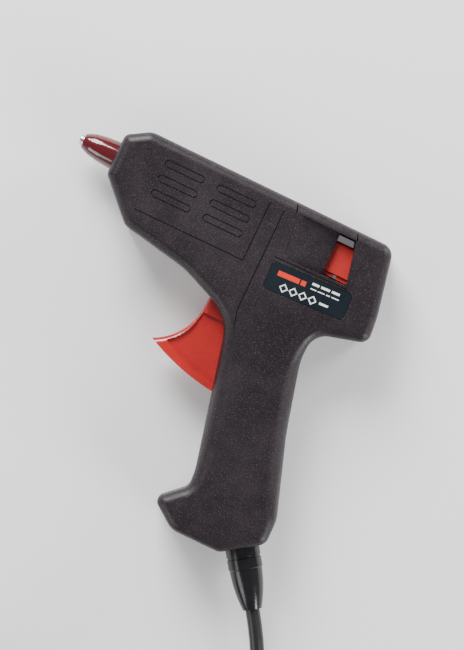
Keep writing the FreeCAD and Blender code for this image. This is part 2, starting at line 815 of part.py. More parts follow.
def screw(x, y, seat_z, length, way):
    """A cross-head screw along Z; way is +1 or -1, the direction it is driven in."""
    start = V(x, y, seat_z)
    shank = Part.makeCylinder(screw_r, length, start, V(0, 0, way))
    top = Part.makeCylinder(screw_head_r, screw_head_t, start, V(0, 0, -way))
    top_z = seat_z - way * screw_head_t
    rim = [e for e in top.Edges if abs(e.BoundBox.ZMin - top_z) < 1e-4 and e.Closed]
    whole = shank.fuse(top.makeFillet(0.7, rim)).removeSplitter()
    for turn in (0, 90):
        cross = box(-1.5, 1.5, -0.32, 0.32, -1, 1)
        cross.rotate(V(0, 0, 0), V(0, 0, 1), turn)
        cross.translate(V(x, y, top_z))
        whole = whole.cut(cross)
    return whole


def clamp_screws():
    places = [on_exit(clamp_s, side) for side in (-clamp_side, clamp_side)]
    return Part.makeCompound([screw(at.x, at.y, clamp_top, 10.0, -1) for at in places])


def housing_screws():
    return Part.makeCompound([screw(x, y, -head_seat, 2 * head_seat, 1) for x, y in screws])


def inner_lead():
    return rod(cord_r, on_exit(-sheath_inside), on_exit(boot_length))


crimp_way = V(0.25, -0.968, 0)
crimps = [
    V(foot_x + 12.6, foot_y + 31.1, -4.5),
    V(foot_x + 18.2, foot_y + 31.1, -4.5),
]
crimp_half = 5.5
crimp_r = 1.9
lead_z = -(half_width - wall - 2.4)
lead_start_x = tab_x - core_r


def lead(points):
    return tube(points, core_r)[0]


def heater_leads():
    """The two wires from the heating stack back along the barrel and down to the crimps."""
    y = -stack_top - film_t - electrode_t
    tops = [c - crimp_way * crimp_half for c in crimps]
    live = [
        V(lead_start_x, y, -3.0), V(lead_start_x, -14.0, -3.0), V(60.0, -14.6, lead_z + 0.2),
        V(84.0, -14.6, lead_z), V(98.0, -22.0, lead_z), V(104.5, -42.0, lead_z),
        V(109.5, -66.0, lead_z + 0.7), tops[1] - crimp_way * 7, tops[1],
    ]
    y -= ptc_t + electrode_t
    neutral = [
        V(lead_start_x, y, 3.0), V(lead_start_x, -17.6, 3.0), V(62.0, -18.0, lead_z + 0.6),
        V(80.0, -18.2, lead_z), V(92.0, -28.0, lead_z), V(98.5, -44.0, lead_z),
        V(103.8, -66.0, lead_z + 0.7), tops[0] - crimp_way * 7, tops[0],
    ]
    return lead(live), lead(neutral)


def cord_cores():
    """The cord's two cores, from the end of its sheath to the crimps."""
    cores = []
    for c, side in zip(crimps, (-1.3, 1.3)):
        foot = c + crimp_way * crimp_half
        start = on_exit(-sheath_inside, side)
        cores.append(lead([start, start - exit_way * 3.0, foot + crimp_way * 2.4, foot]))
    return Part.makeCompound(cores)


def crimp_caps():
    half = crimp_way * crimp_half
    return Part.makeCompound([rod(crimp_r, c - half, c + half) for c in crimps])


# Free cord: a short run to the floor, a neat coil, a tail and a three-pin plug

floor_z = -half_width
low = floor_z + cord_r
step = 2 * cord_r
coil_middle = V(139.3, -214.4, 0)
coil_turn_r = (24.8, 30.3)
coil_turns = 4
coil_start = 25.5
plug_way = V(-0.982, 0.19, 0)


def round_coil(angle, r, z):
    a = math.radians(angle)
    return coil_middle + V(r * math.cos(a), r * math.sin(a), z)


first_run = [
    on_exit(boot_length),
    on_exit(boot_length + 18.0),
    V(158.7, -178.7, low),
    round_coil(coil_start, coil_turn_r[1], low),
]
# The tail leaves the top turn, comes down beside the coil and goes round it to the plug
tail_end = V(86.0, -231.7, low + 4.1)
last_run = [
    round_coil(30.0, coil_turn_r[1], low + step),
    V(172.8, -220.3, low + step * 0.6),
    V(165.1, -241.2, low),
    V(146.3, -252.2, low),
    V(124.0, -249.6, low),
    V(108.1, -235.9, low),
    tail_end,
]


def cord_coil():
    inner = coil_turn_r[0] - cord_r
    outer = coil_turn_r[1] + cord_r
    body = Part.makeCylinder(outer, 2 * step, coil_middle + V(0, 0, floor_z))
    body = body.cut(Part.makeCylinder(inner, 4 * step, coil_middle + V(0, 0, floor_z - step)))
    rims = [e for e in body.Edges if e.Closed]
    return body.makeFillet(cord_r - 0.1, rims)


# Three-pin plug, lying on its back; modelled with the cord's end along X
plug_relief = 20.0
plug_thick = 16.0
plug_length = 42.0
plug_outline = [
    (plug_relief - 2, 22.0, 7.0), (plug_relief - 2, -22.0, 7.0),
    (plug_relief + 20, -24.0, 14.0), (plug_relief + plug_length, -14.0, 8.0),
    (plug_relief + plug_length, 14.0, 8.0), (plug_relief + 20, 24.0, 14.0),
]
# Pins: (along, across, thickness along, width across, length)
pin_places = [
    (plug_relief + 9.0, -11.1, 4.0, 6.35, 17.7),
    (plug_relief + 9.0, 11.1, 4.0, 6.35, 17.7),
    (plug_relief + 31.2, 0.0, 8.0, 4.0, 22.7),
]
pin_seat = 5.0
carrier = (plug_relief + 4.0, plug_relief + 12.5, -7.2, 7.2)
carrier_depth = 4.0


def in_plug(shape):
    angle = math.degrees(math.atan2(plug_way.y, plug_way.x))
    shape.rotate(V(0, 0, 0), V(0, 0, 1), angle)
    shape.translate(V(tail_end.x, tail_end.y, floor_z))
    return shape


def plug_pins():
    pins = []
    for u, v, du, dv, long in pin_places:
        tip_z = plug_thick + long
        pin = box(u - du / 2, u + du / 2, v - dv / 2, v + dv / 2, plug_thick - pin_seat, tip_z)
        ends = [e for e in pin.Edges if e.BoundBox.ZMin > tip_z - 0.01]
        pins.append(pin.makeChamfer(0.8, ends))
    return pins


def plug_body():
    core = prism(plug_outline, 0, plug_thick)
    rims = [e for e in core.Edges if e.BoundBox.ZMax < 0.01 or e.BoundBox.ZMin > plug_thick - 0.01]
    core = core.makeFillet(2.2, rims)
    height = tail_end.z - floor_z
    end = plug_relief + 6
    relief = [
        (0, 0), (0, cord_r + 0.95), (2, cord_r + 1.25), (plug_relief, cord_r + 2.85),
        (end, cord_r + 2.85), (end, 0),
    ]
    body = core.fuse(turned(relief, V(0, 0, height)))
    for pin in plug_pins():
        body = body.cut(pin)
    x0, x1, y0, y1 = carrier
    body = body.cut(box(x0, x1, y0, y1, plug_thick - carrier_depth, plug_thick + 1))
    return body.removeSplitter()


def fuse_carrier():
    x0, x1, y0, y1 = carrier
    g = fit / 2
    mid = (x0 + x1) / 2
    cap = box(x0 + g, x1 - g, y0 + g, y1 - g, plug_thick - carrier_depth, plug_thick + 0.3)
    slot = box(mid - 0.5, mid + 0.5, y0 + 2, y1 - 2, plug_thick - 0.5, plug_thick + 1)
    return cap.cut(slot)


# Everything by name

nodes = {}
nodes["left_shell"] = shell(True)
nodes["right_shell"] = shell(False)
nodes["nozzle_tip"] = nozzle_tip()
nodes["nozzle_sleeve"] = nozzle_sleeve()
nodes["melt_chamber"] = melt_chamber()
nodes["front_insulator"] = front_insulator()
nodes["rear_support"] = rear_support()
nodes["feed_sleeve"] = feed_sleeve()
nodes["sleeve_clip"] = sleeve_clip()
film, plates, pill = ptc_pack()
nodes["insulating_film"] = film
nodes["contact_plates"] = plates
nodes["heating_pill"] = pill
nodes["heater_clip"] = heater_clip()
nodes["trigger"] = trigger()
nodes["trigger_pin"] = trigger_pin()
nodes["carriage"] = carriage()
nodes["gripper"] = gripper()
nodes["gripper_pin"] = gripper_pin()
nodes["return_spring"] = return_spring()
nodes["rating_label"] = label_shape(0.0, half_width - label_depth, half_width - 0.05)
nodes["strain_relief"] = strain_relief()
nodes["cord_clamp"] = cord_clamp()
nodes["clamp_screws"] = clamp_screws()
nodes["housing_screws"] = housing_screws()
nodes["inner_lead"] = inner_lead()
live, neutral = heater_leads()
nodes["live_lead"] = live
nodes["neutral_lead"] = neutral
nodes["cord_cores"] = cord_cores()
nodes["crimp_caps"] = crimp_caps()

cord_nodes = {}
cord, cord_length, cord_radii, cord_share = tube(first_run, cord_r)
cord_nodes["power_cord"] = cord
cord_nodes["cord_coil"] = cord_coil()
tail, tail_length, tail_radii, tail_share = tube(last_run, cord_r)
cord_nodes["cord_tail"] = tail
cord_nodes["plug_body"] = in_plug(plug_body())
cord_nodes["plug_pins"] = in_plug(Part.makeCompound(plug_pins()))
cord_nodes["plug_fuse_carrier"] = in_plug(fuse_carrier())

coil_length = coil_turns * math.pi * sum(coil_turn_r)
for label, length, radii, share in (
    ("cord to the coil", cord_length, cord_radii, cord_share),
    ("cord to the plug", tail_length, tail_radii, tail_share),
):
    print(label, round(length, 1), "radii", [round(r, 1) for r in radii], "volume", round(share, 4))
print("cord in the coil", round(coil_length, 1))

# The origin: the middle of the gun's box, on the surface that it lies on
gun = Part.makeCompound([s for n, s in nodes.items() if n != "strain_relief" and n != "inner_lead"])
limits = gun.optimalBoundingBox(False, False)
shift = V(-(limits.XMin + limits.XMax) / 2, -(limits.YMin + limits.YMax) / 2, half_width)
gun_size = [round(v, 2) for v in (limits.XLength, limits.YLength, limits.ZLength)]
print("gun box", gun_size, "shift", shift)

os.makedirs("parts", exist_ok=True)
nodes.update(cord_nodes)
for name, solid in nodes.items():
    placed = solid.copy()
    placed.translate(shift)
    if not placed.isValid():
        print("not valid:", name)
    print(name, len(placed.Solids), round(placed.Volume, 1))
    placed.exportStep("parts/" + name + ".step")
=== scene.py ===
import math

import bmesh
import bpy
import numpy as np
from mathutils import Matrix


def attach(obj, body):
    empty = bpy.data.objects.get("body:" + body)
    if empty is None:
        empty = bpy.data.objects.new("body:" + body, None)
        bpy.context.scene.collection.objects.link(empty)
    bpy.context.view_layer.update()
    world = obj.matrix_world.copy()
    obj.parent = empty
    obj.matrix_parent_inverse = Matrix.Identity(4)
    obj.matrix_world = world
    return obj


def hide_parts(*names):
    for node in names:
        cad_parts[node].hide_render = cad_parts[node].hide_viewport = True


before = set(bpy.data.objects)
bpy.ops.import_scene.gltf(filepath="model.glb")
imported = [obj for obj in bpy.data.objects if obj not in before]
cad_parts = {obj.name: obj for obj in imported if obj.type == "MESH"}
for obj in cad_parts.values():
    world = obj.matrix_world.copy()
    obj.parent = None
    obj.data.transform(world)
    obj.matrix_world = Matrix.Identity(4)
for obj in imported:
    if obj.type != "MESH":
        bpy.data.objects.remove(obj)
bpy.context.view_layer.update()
scene = bpy.context.scene
mm = 0.001

# The view: straight down on the gun's left side, with the barrel falling to the right
view = {
    "turn": 25.5,                      # degrees that the barrel falls from level
    "centre": (0.0168, 0.0134, 0.018),
    "fieldHeight": 0.247,              # metres of the gun's plane from top to bottom
    "distance": 1.5,
}

studio = {
    "floorColour": (0.86, 0.85, 0.84),
    "floorGlow": 0.16,                 # painted light: the floor glows faintly to lift the shade under the gun's openings
    "floorSize": 6.0,
    "worldColour": (0.93, 0.95, 1.0),
    "worldStrength": 0.34,
    "lights": [
        # name, direction that it stands in, distance, size, watts
        ("keySoftbox", (-0.60, 0.70, 0.62), 1.1, 0.55, 24.0),
        ("fillSoftbox", (0.95, -0.30, 0.42), 1.1, 0.45, 10.0),
        ("stripSoftbox", (0.55, 0.85, 0.30), 1.0, 0.35, 7.0),
        ("backSoftbox", (-0.5, -0.8, 0.45), 1.1, 0.5, 4.0),
    ],
}


def addCamera():
    data = bpy.data.cameras.new("camera")
    data.lens = data.sensor_width * view["distance"] / view["fieldHeight"]
    data.clip_start = 0.05
    data.clip_end = 20
    camera = bpy.data.objects.new("camera", data)
    x, y, z = view["centre"]
    camera.location = (x, y, z + view["distance"])
    camera.rotation_euler = (0, 0, math.radians(view["turn"]))
    scene.collection.objects.link(camera)
    scene.camera = camera


def addStudio():
    half = studio["floorSize"] / 2
    mesh = bpy.data.meshes.new("floor")
    corners = [(-half, -half, 0), (half, -half, 0), (half, half, 0), (-half, half, 0)]
    mesh.from_pydata(corners, [], [(0, 1, 2, 3)])
    floor = bpy.data.objects.new("floor", mesh)
    scene.collection.objects.link(floor)
    paper, _, shader = newMaterial("floorPaper", studio["floorColour"], 0.85)
    # the floor's faint glow is painted light that lifts the shade where the gun covers it
    shader.inputs["Emission Color"].default_value = (1, 1, 1, 1)
    shader.inputs["Emission Strength"].default_value = studio["floorGlow"]
    mesh.materials.append(paper)
    target = np.array(view["centre"])
    for name, way, distance, size, power in studio["lights"]:
        data = bpy.data.lights.new(name, "AREA")
        data.shape = "SQUARE"
        data.size = size
        data.energy = power
        lamp = bpy.data.objects.new(name, data)
        direction = np.array(way) / np.linalg.norm(way)
        lamp.location = target + direction * distance
        lamp.rotation_mode = "QUATERNION"
        lamp.rotation_quaternion = lamp.location.__class__(-direction).to_track_quat("-Z", "Y")
        lamp.visible_camera = False
        scene.collection.objects.link(lamp)
    world = bpy.data.worlds.new("studio")
    world.use_nodes = True
    backdrop = world.node_tree.nodes["Background"]
    backdrop.inputs["Color"].default_value = (*studio["worldColour"], 1)
    backdrop.inputs["Strength"].default_value = studio["worldStrength"]
    scene.world = world


# Shader effects that several materials share; each "from, to" pair is the part of a noise that is kept

sparkGrain = {"fineShare": 0.4, "fineScale": 2.7, "speck": (0.56, 0.72)}
toneMix = {"narrowShare": 0.35, "narrowScale": 6.0, "kept": (0.36, 0.64)}
wear = {
    "hairStretch": ((1.0, 14.0, 14.0), (11.0, 1.5, 11.0)), "hairKept": ((0.69, 0.74), (0.70, 0.75)),
    "dustCells": 700.0, "dustRadius": (0.16, 0.08), "dustPatches": 150.0, "dustKept": (0.66, 0.69),
}
turning = {"shakeScale": 300.0, "shake": 0.0011}
patchesPerMetre = 35.0
hairsPerMetre = 260.0
dustColour = (0.34, 0.32, 0.30)

def startGroup(name, inputs, outputs):
    tree = bpy.data.node_groups.new(name, "ShaderNodeTree")
    for label, value in inputs:
        socket = tree.interface.new_socket(label, in_out="INPUT", socket_type="NodeSocketFloat")
        socket.default_value = value
    for label in outputs:
        tree.interface.new_socket(label, in_out="OUTPUT", socket_type="NodeSocketFloat")
    return tree, tree.nodes.new("NodeGroupInput"), tree.nodes.new("NodeGroupOutput")


def maths(tree, operation, a, b=None, c=None):
    node = tree.nodes.new("ShaderNodeMath")
    node.operation = operation
    for slot, value in enumerate((a, b, c)):
        if value is None:
            continue
        if isinstance(value, (int, float)):
            node.inputs[slot].default_value = value
        else:
            tree.links.new(value, node.inputs[slot])
    return node.outputs[0]


def spread(tree, value, kept):
    # the kept pair's range of the value stretched to 0..1 and held there
    node = tree.nodes.new("ShaderNodeMapRange")
    tree.links.new(value, node.inputs["Value"])
    node.inputs["From Min"].default_value = kept[0]
    node.inputs["From Max"].default_value = kept[1]
    return node.outputs["Result"]


def noiseAt(tree, place, scale, detail=2.0, stretch=None):
    if stretch:
        mapping = tree.nodes.new("ShaderNodeMapping")
        mapping.inputs["Scale"].default_value = stretch
        tree.links.new(place, mapping.inputs["Vector"])
        place = mapping.outputs["Vector"]
    node = tree.nodes.new("ShaderNodeTexNoise")
    tree.links.new(place, node.inputs["Vector"])
    node.inputs["Detail"].default_value = detail
    if isinstance(scale, (int, float)):
        node.inputs["Scale"].default_value = scale
    else:
        tree.links.new(scale, node.inputs["Scale"])
    return node.outputs[0]


def objectPlace(tree):
    return tree.nodes.new("ShaderNodeTexCoord").outputs["Object"]


def makeSparkGrain():
    # height = coarse noise plus fine noise; speck = the tops of the coarse noise
    tree, given, made = startGroup("sparkGrain", [("Grains per metre", 2200.0)], ["Height", "Speck"])
    place = objectPlace(tree)
    coarse = noiseAt(tree, place, given.outputs[0], 3.0)
    fineScale = maths(tree, "MULTIPLY", given.outputs[0], sparkGrain["fineScale"])
    fine = noiseAt(tree, place, fineScale, 1.0)
    height = maths(tree, "MULTIPLY_ADD", fine, sparkGrain["fineShare"], coarse)
    tree.links.new(height, made.inputs["Height"])
    tree.links.new(spread(tree, coarse, sparkGrain["speck"]), made.inputs["Speck"])
    return tree


def makeTone():
    # tone = wide soft noise mixed with noise a sixth as wide
    tree, given, made = startGroup("tone", [("Patches per metre", patchesPerMetre)], ["Tone"])
    place = objectPlace(tree)
    wide = noiseAt(tree, place, given.outputs[0], 3.0)
    narrowScale = maths(tree, "MULTIPLY", given.outputs[0], toneMix["narrowScale"])
    narrow = noiseAt(tree, place, narrowScale, 2.0)
    share = toneMix["narrowShare"]
    mixed = maths(tree, "MULTIPLY_ADD", narrow, share, maths(tree, "MULTIPLY", wide, 1 - share))
    tree.links.new(spread(tree, mixed, toneMix["kept"]), made.inputs["Tone"])
    return tree


def makeHandling():
    # hair = thin stretched noise in two directions, kept only at its highest; dust = rare small specks
    tree, given, made = startGroup("handling", [("Hairs per metre", hairsPerMetre)], ["Hair", "Dust"])
    place = objectPlace(tree)
    first, second = [
        spread(tree, noiseAt(tree, place, given.outputs[0], 1.0, stretch), kept)
        for stretch, kept in zip(wear["hairStretch"], wear["hairKept"])
    ]
    hair = maths(tree, "MAXIMUM", first, second)
    cells = tree.nodes.new("ShaderNodeTexVoronoi")
    cells.inputs["Scale"].default_value = wear["dustCells"]
    tree.links.new(place, cells.inputs["Vector"])
    near = spread(tree, cells.outputs["Distance"], wear["dustRadius"])
    chosen = spread(tree, noiseAt(tree, place, wear["dustPatches"], 0.0), wear["dustKept"])
    tree.links.new(hair, made.inputs["Hair"])
    tree.links.new(maths(tree, "MULTIPLY", near, chosen), made.inputs["Dust"])
    return tree


def makeTurning():
    # rings = a wave along X with its phase shaken by noise, as a lathe tool leaves
    tree, given, made = startGroup("turning", [("Rings per metre", 4200.0)], ["Rings"])
    place = objectPlace(tree)
    split = tree.nodes.new("ShaderNodeSeparateXYZ")
    tree.links.new(place, split.inputs[0])
    noise = noiseAt(tree, place, turning["shakeScale"], 2.0)
    shaken = maths(tree, "MULTIPLY_ADD", noise, turning["shake"], split.outputs["X"])
    wave = maths(tree, "SINE", maths(tree, "MULTIPLY", shaken, given.outputs[0]))
    tree.links.new(maths(tree, "MULTIPLY_ADD", wave, 0.5, 0.5), made.inputs["Rings"])
    return tree


groups = {
    "sparkGrain": makeSparkGrain(),
    "tone": makeTone(),
    "handling": makeHandling(),
    "turning": makeTurning(),
}


# Materials

def newMaterial(name, colour, roughness, metallic=0.0):
    material = bpy.data.materials.new(name)
    material.use_nodes = True
    shader = material.node_tree.nodes["Principled BSDF"]
    shader.inputs["Base Color"].default_value = (*colour, 1)
    shader.inputs["Roughness"].default_value = roughness
    shader.inputs["Metallic"].default_value = metallic
    material.diffuse_color = (*colour, 1)
    return material, material.node_tree, shader


def placeGroup(tree, name, value):
    node = tree.nodes.new("ShaderNodeGroup")
    node.node_tree = groups[name]
    node.inputs[0].default_value = value
    return node


def mixColours(tree, mask, first, second):
    node = tree.nodes.new("ShaderNodeMix")
    node.data_type = "RGBA"
    tree.links.new(mask, node.inputs[0])
    for socket, value in ((node.inputs[6], first), (node.inputs[7], second)):
        if isinstance(value, tuple):
            socket.default_value = (*value, 1)
        else:
            tree.links.new(value, socket)
    return node.outputs[2]


def addBump(tree, shader, height, depth):
    bump = tree.nodes.new("ShaderNodeBump")
    bump.inputs["Distance"].default_value = depth
    tree.links.new(height, bump.inputs["Height"])
    tree.links.new(bump.outputs["Normal"], shader.inputs["Normal"])


finishes = {
    # colour, its darker or lighter second, roughness low and high, and what else the surface has
    "housingPlastic": {
        "colour": (0.0092, 0.0056, 0.0080), "second": (0.0140, 0.0090, 0.0122),
        "speck": (0.056, 0.041, 0.051), "specular": 0.38,
        "rough": (0.36, 0.50), "grain": 2200.0, "depth": 0.05, "hair": 0.09, "dust": 0.06,
    },
    "triggerPlastic": {
        "colour": (0.47, 0.016, 0.013), "second": (0.38, 0.011, 0.010), "rough": (0.20, 0.30),
        "grain": 700.0, "depth": 0.006, "coat": 0.35, "hair": 0.08, "dust": 0.1, "glow": 0.10,
    },
    "carriagePlastic": {
        "colour": (0.60, 0.034, 0.028), "second": (0.50, 0.022, 0.020), "rough": (0.28, 0.40),
        "grain": 900.0, "depth": 0.012, "hair": 0.08, "dust": 0.1, "glow": 0.12,
    },
    "nozzleCover": {
        "colour": (0.100, 0.0035, 0.0065), "second": (0.070, 0.0022, 0.0045), "rough": (0.12, 0.22),
        "grain": 500.0, "depth": 0.008, "coat": 0.6, "dust": 0.1,
    },
    "tipMetal": {
        "colour": (0.74, 0.74, 0.75), "second": (0.60, 0.59, 0.58), "rough": (0.16, 0.34), "metallic": 1.0,
        "rings": 6000.0, "depth": 0.012, "hair": 0.3,
    },
    "chamberCasting": {
        "colour": (0.56, 0.56, 0.57), "second": (0.44, 0.43, 0.42), "rough": (0.38, 0.58), "metallic": 1.0,
        "grain": 1800.0, "depth": 0.05, "hair": 0.3,
    },
    "springSteel": {
        "colour": (0.52, 0.53, 0.55), "second": (0.38, 0.38, 0.40), "rough": (0.22, 0.36), "metallic": 1.0,
        "grain": 2500.0, "depth": 0.01, "hair": 0.4,
    },
    "zincScrew": {
        "colour": (0.58, 0.58, 0.56), "second": (0.44, 0.43, 0.38), "rough": (0.26, 0.42), "metallic": 1.0,
        "grain": 2200.0, "depth": 0.015, "hair": 0.4,
    },
    "contactBrass": {
        "colour": (0.62, 0.42, 0.16), "second": (0.48, 0.30, 0.11), "rough": (0.22, 0.38), "metallic": 1.0,
        "grain": 1800.0, "depth": 0.01, "hair": 0.4,
    },
    "pinBrass": {
        "colour": (0.80, 0.62, 0.30), "second": (0.66, 0.47, 0.20), "rough": (0.16, 0.30), "metallic": 1.0,
        "grain": 1800.0, "depth": 0.006, "hair": 0.6,
    },
    "insulatorBoard": {
        "colour": (0.52, 0.40, 0.24), "second": (0.40, 0.29, 0.16), "rough": (0.55, 0.75),
        "grain": 900.0, "depth": 0.04, "dust": 0.4,
    },
    "clearSilicone": {
        "colour": (0.66, 0.64, 0.58), "second": (0.56, 0.53, 0.46), "rough": (0.25, 0.40),
        "grain": 600.0, "depth": 0.01, "dust": 0.6, "glow": 0.5,
    },
    "amberFilm": {
        "colour": (0.55, 0.21, 0.02), "second": (0.42, 0.14, 0.01), "rough": (0.10, 0.22),
        "grain": 300.0, "depth": 0.02, "coat": 0.4,
    },
    "heaterCeramic": {
        "colour": (0.10, 0.10, 0.11), "second": (0.16, 0.15, 0.15), "rough": (0.6, 0.8),
        "grain": 2600.0, "depth": 0.03,
    },
    "labelFilm": {
        "colour": (0.0035, 0.0080, 0.0115), "second": (0.0050, 0.0105, 0.0145), "rough": (0.16, 0.26),
        "grain": 400.0, "depth": 0.004, "hair": 0.10, "dust": 0.15,
    },
    "labelRed": {
        "colour": (0.68, 0.045, 0.020), "second": (0.60, 0.035, 0.016), "rough": (0.22, 0.32),
        "grain": 3000.0, "depth": 0.002,
    },
    "labelWhite": {
        "colour": (0.80, 0.80, 0.78), "second": (0.70, 0.70, 0.69), "rough": (0.22, 0.32),
        "grain": 3000.0, "depth": 0.002,
    },
    "bootPvc": {
        "colour": (0.006, 0.006, 0.007), "second": (0.011, 0.010, 0.012), "rough": (0.14, 0.24),
        "grain": 500.0, "depth": 0.01, "coat": 0.12, "specular": 0.34, "hair": 0.08, "dust": 0.12,
    },
    "cordPvc": {
        "colour": (0.009, 0.009, 0.010), "second": (0.016, 0.015, 0.017), "rough": (0.26, 0.40),
        "grain": 900.0, "depth": 0.02, "specular": 0.40, "hair": 0.06, "dust": 0.15,
    },
    "plugPlastic": {
        "colour": (0.014, 0.014, 0.015), "second": (0.022, 0.021, 0.023), "rough": (0.26, 0.40),
        "grain": 1400.0, "depth": 0.02, "hair": 0.12, "dust": 0.15,
    },
    "carrierPlastic": {
        "colour": (0.36, 0.012, 0.012), "second": (0.28, 0.008, 0.009), "rough": (0.26, 0.38),
        "grain": 1200.0, "depth": 0.01, "hair": 0.12,
    },
    "clampNylon": {
        "colour": (0.055, 0.048, 0.044), "second": (0.080, 0.070, 0.062), "rough": (0.45, 0.60),
        "grain": 1600.0, "depth": 0.03,
    },
    "brownSleeve": {
        "colour": (0.10, 0.034, 0.014), "second": (0.075, 0.024, 0.010), "rough": (0.35, 0.50),
        "grain": 2600.0, "depth": 0.02,
    },
    "blueSleeve": {
        "colour": (0.012, 0.050, 0.25), "second": (0.009, 0.038, 0.19), "rough": (0.35, 0.50),
        "grain": 2600.0, "depth": 0.02,
    },
    "crimpNylon": {
        "colour": (0.66, 0.65, 0.60), "second": (0.56, 0.54, 0.48), "rough": (0.30, 0.45),
        "grain": 900.0, "depth": 0.02, "glow": 0.3,
    },
}


def makeFinish(name, look):
    # base colour = first and second colour mixed by tone, then specks, hairs and dust laid over it
    # roughness = low to high by tone; bump = spark grain or turning rings
    material, tree, shader = newMaterial(name, look["colour"], look["rough"][0], look.get("metallic", 0.0))
    shader.inputs["Coat Weight"].default_value = look.get("coat", 0.0)
    shader.inputs["Coat Roughness"].default_value = 0.08
    shader.inputs["Specular IOR Level"].default_value = look.get("specular", 0.5)
    if "glow" in look:  # light that soaks into the plastic a little
        shader.inputs["Subsurface Weight"].default_value = look["glow"]
        shader.inputs["Subsurface Radius"].default_value = (2.0, 0.6, 0.4)
        shader.inputs["Subsurface Scale"].default_value = mm
    tone = placeGroup(tree, "tone", patchesPerMetre).outputs["Tone"]
    colour = mixColours(tree, tone, look["colour"], look["second"])
    rough = maths(tree, "MULTIPLY_ADD", tone, look["rough"][1] - look["rough"][0], look["rough"][0])
    if "rings" in look:
        height = placeGroup(tree, "turning", look["rings"]).outputs["Rings"]
        rough = maths(tree, "MULTIPLY_ADD", height, 0.08, rough)
    else:
        grain = placeGroup(tree, "sparkGrain", look["grain"])
        height = grain.outputs["Height"]
        rough = maths(tree, "MULTIPLY_ADD", grain.outputs["Speck"], 0.06, rough)
        if "speck" in look:
            colour = mixColours(tree, grain.outputs["Speck"], colour, look["speck"])
    marks = placeGroup(tree, "handling", hairsPerMetre)
    if "hair" in look:
        pale = tuple(min(c * 1.6 + 0.03, 0.9) for c in look["colour"])
        colour = mixColours(tree, maths(tree, "MULTIPLY", marks.outputs["Hair"], look["hair"]), colour, pale)
        rough = maths(tree, "MULTIPLY_ADD", marks.outputs["Hair"], 0.12, rough)
    if "dust" in look:
        dust = maths(tree, "MULTIPLY", marks.outputs["Dust"], look["dust"])
        colour = mixColours(tree, dust, colour, dustColour)
        rough = maths(tree, "MULTIPLY_ADD", dust, 0.4, rough)
    tree.links.new(colour, shader.inputs["Base Color"])
    tree.links.new(rough, shader.inputs["Roughness"])
    addBump(tree, shader, height, look["depth"] * mm)
    return material


materials = {name: makeFinish(name, look) for name, look in finishes.items()}
print("materials made:", len(materials))

nodeFinish = {
    "left_shell": "housingPlastic", "right_shell": "housingPlastic",
    "nozzle_tip": "tipMetal", "nozzle_sleeve": "nozzleCover",
    "melt_chamber": "chamberCasting", "front_insulator": "insulatorBoard", "rear_support": "insulatorBoard",
    "feed_sleeve": "clearSilicone", "sleeve_clip": "springSteel",
    "insulating_film": "amberFilm", "contact_plates": "contactBrass", "heating_pill": "heaterCeramic",
    "heater_clip": "springSteel", "trigger": "triggerPlastic", "trigger_pin": "springSteel",
    "carriage": "carriagePlastic", "gripper": "springSteel", "gripper_pin": "springSteel",
    "return_spring": "springSteel", "rating_label": "labelFilm",
    "strain_relief": "bootPvc", "cord_clamp": "clampNylon", "clamp_screws": "zincScrew",
    "housing_screws": "zincScrew", "inner_lead": "cordPvc", "live_lead": "brownSleeve",
    "neutral_lead": "blueSleeve", "cord_cores": "blueSleeve", "crimp_caps": "crimpNylon",
    "plug_body": "plugPlastic", "plug_pins": "pinBrass", "plug_fuse_carrier": "carrierPlastic",
}


def dressNodes():
    for node, finish in nodeFinish.items():
        if node in softened:
            continue
        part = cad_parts[node]
        if not part.material_slots:
            part.data.materials.append(materials[finish])
        for holder in part.material_slots:
            holder.link = "OBJECT"
            holder.material = materials[finish]


# Pieces shown with softened edges: the CAD shape welded, its flat faces joined and its sharp edges rounded

softened = {
    # node: (what it moves with, material slot, edge radius in mm)
    # None keeps the CAD edges, and "seam" rounds only those where the shells meet
    "left_shell": ("housing", "housing_plastic", "seam"),
    "right_shell": ("housing", "housing_plastic", "seam"),
    "nozzle_sleeve": ("housing", "red_silicone", 0.15),
    "nozzle_tip": ("housing", "nozzle_metal", 0.10),
    "trigger": ("trigger", "red_plastic", None),
    "carriage": ("feed_carriage", "red_plastic", 0.22),
    "rating_label": ("housing", "label_print", 0.06),
    "strain_relief": ("housing", "black_pvc", None),
    "housing_screws": ("housing", "screw_steel", 0.10),
    "plug_body": ("housing", "plug_black", 0.30),
    "plug_pins": ("housing", "plug_brass", 0.15),
    "plug_fuse_carrier": ("housing", "carrier_red", 0.20),
}
softEdge = {"weld": 0.002, "flatAngle": 0.6, "edgeAngle": 34.0, "segments": 2}
seam = {"height": 13.0, "radius": 0.24}   # mm: where the shells meet, and how round their edges are there
triggerPanel = {"modelled": 3.5, "shown": 2.6}   # mm from the seam's height to the panel's floor
pieces = {}


def markSeam(data):
    # weight = 1 on the edges at the seam's height that have a side wall on one side, otherwise 0
    points = np.empty(len(data.vertices) * 3)
    data.vertices.foreach_get("co", points)
    level = np.abs(points.reshape(-1, 3)[:, 2] - seam["height"] * mm) < 0.01 * mm
    ends = np.empty(len(data.edges) * 2, dtype=int)
    data.edges.foreach_get("vertices", ends)
    sides = np.empty(len(data.polygons) * 3)
    data.polygons.foreach_get("normal", sides)
    corners = np.empty(len(data.polygons), dtype=int)
    data.polygons.foreach_get("loop_total", corners)
    loopEdges = np.empty(len(data.loops), dtype=int)
    data.loops.foreach_get("edge_index", loopEdges)
    wall = np.repeat(np.abs(sides.reshape(-1, 3)[:, 2]) < 0.3, corners)
    walled = np.zeros(len(data.edges), dtype=bool)
    walled[loopEdges[wall]] = True
    chosen = level[ends.reshape(-1, 2)].all(axis=1) & walled
    weight = data.attributes.new("bevel_weight_edge", "FLOAT", "EDGE")
    weight.data.foreach_set("value", chosen.astype(np.float32))


